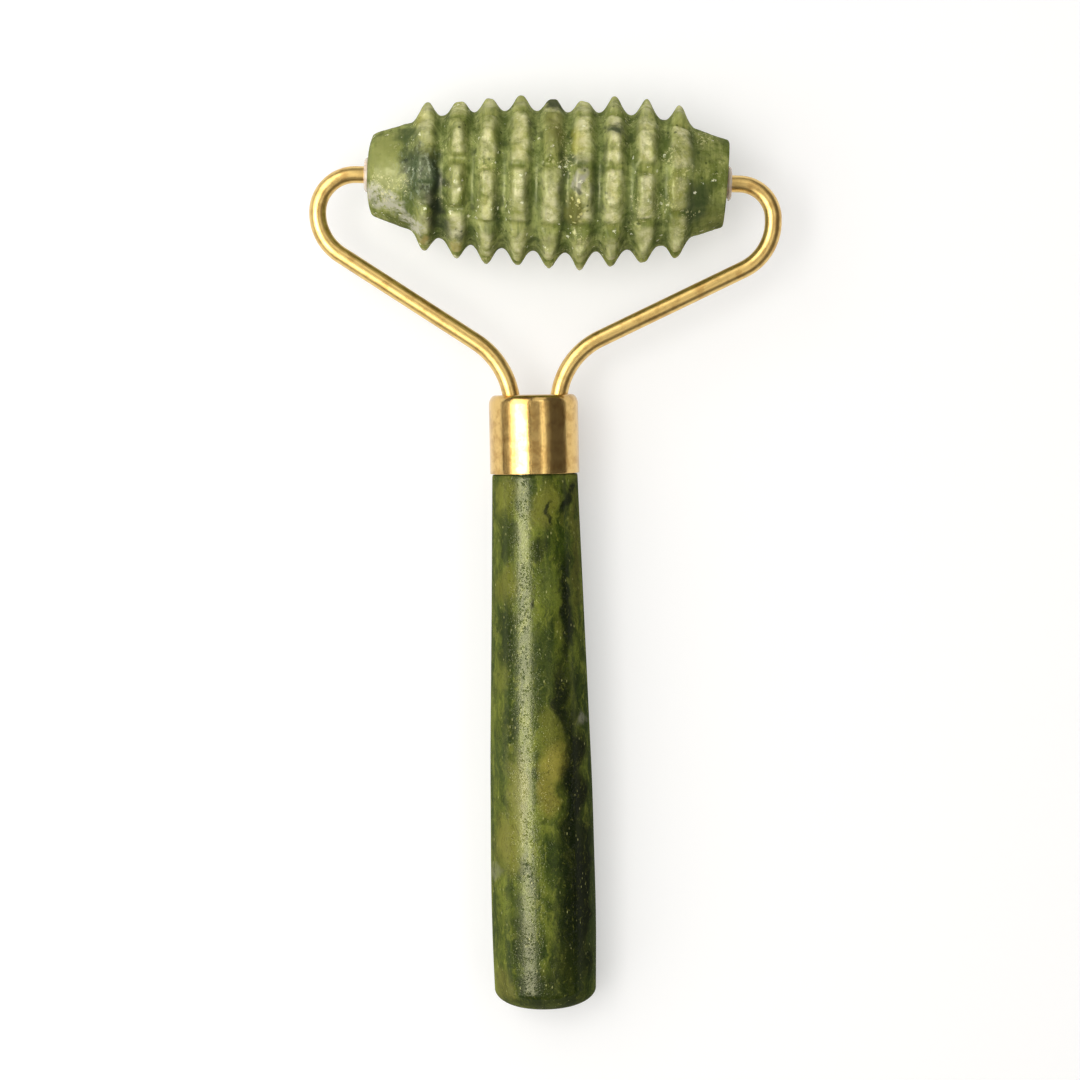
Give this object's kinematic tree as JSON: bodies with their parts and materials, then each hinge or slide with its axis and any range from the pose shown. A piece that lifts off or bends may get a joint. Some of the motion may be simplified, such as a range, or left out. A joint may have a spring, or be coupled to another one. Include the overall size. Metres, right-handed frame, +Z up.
{
  "type": "face massage roller",
  "caption": "Hand-held face roller: a toothed green jade barrel spins on a bent wire yoke set in a metal ferrule on a tapered jade handle.",
  "frame": {"origin": "bottom centre of the bounding box, on the table that the roller lies on", "axes": "+Y along the handle from its tail towards the roller, +X to the right along the roller, +Z up from the table"},
  "size_m": [0.0776, 0.1504, 0.0279],
  "materials": {
    "handle_jade": "gloss",
    "roller_jade": "satin",
    "ferrule_metal": "polished",
    "wire_metal": "gloss",
    "bush_plastic": "gloss",
    "adhesive": "gloss"
  },
  "bodies": {
    "yoke_and_handle": {"handle": "handle_jade", "ferrule": "ferrule_metal", "epoxy_plug": "adhesive", "left_arm": "wire_metal", "right_arm": "wire_metal"},
    "roller": {"roller": "roller_jade", "left_bush": "bush_plastic", "right_bush": "bush_plastic"}
  },
  "joints": [
    {"name": "roller_spin", "type": "hinge", "parent": "yoke_and_handle", "child": "roller", "pos_m": [0.00052, 0.06112, 0.01399], "axis": [0.999, -0.0451, -0.0019], "continuous": true}
  ]
}
